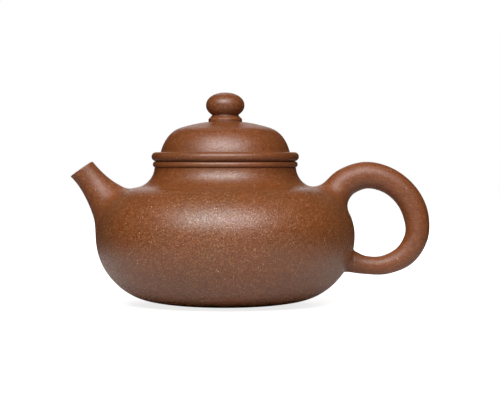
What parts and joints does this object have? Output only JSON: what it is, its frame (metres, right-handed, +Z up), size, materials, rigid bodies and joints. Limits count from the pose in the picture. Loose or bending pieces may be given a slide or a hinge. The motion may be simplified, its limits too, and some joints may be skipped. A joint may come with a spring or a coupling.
{
  "type": "clay teapot",
  "caption": "Squat round clay teapot with a short straight spout, a ring handle, a collared mouth and a domed lift-off lid with a ball knob, for brewing and pouring tea.",
  "frame": {"origin": "on the pot's axis, in the plane of the foot ring that it stands on", "axes": "+Z up along the pot's axis, the spout points along -X, the handle along +X"},
  "size_m": [0.1351, 0.0974, 0.0797],
  "materials": {
    "clay_body": "unglazed brown stoneware clay, fine grained with pale sand specks, satin",
    "clay_lid": "unglazed brown stoneware clay, fine grained with pale sand specks, a little smoother from handling",
    "clay_inside": "unglazed brown stoneware clay, matt and unburnished"
  },
  "bodies": {
    "pot": {"base_disc": "clay_body", "belly_wall": "clay_body", "shoulder_disc": "clay_body", "neck_ring": "clay_body", "lip_ring": "clay_body", "spout": "clay_body", "strainer": "clay_inside", "handle": "clay_body"},
    "lid": {"lid_rim": "clay_lid", "lid_flange": "clay_inside", "lid_dome": "clay_lid", "knob_collar": "clay_lid", "knob": "clay_lid"}
  },
  "joints": [
    {"name": "lid_lift", "type": "slide", "parent": "pot", "child": "lid", "axis": [0, 0, 1], "range_m": [0, 0.05]}
  ]
}
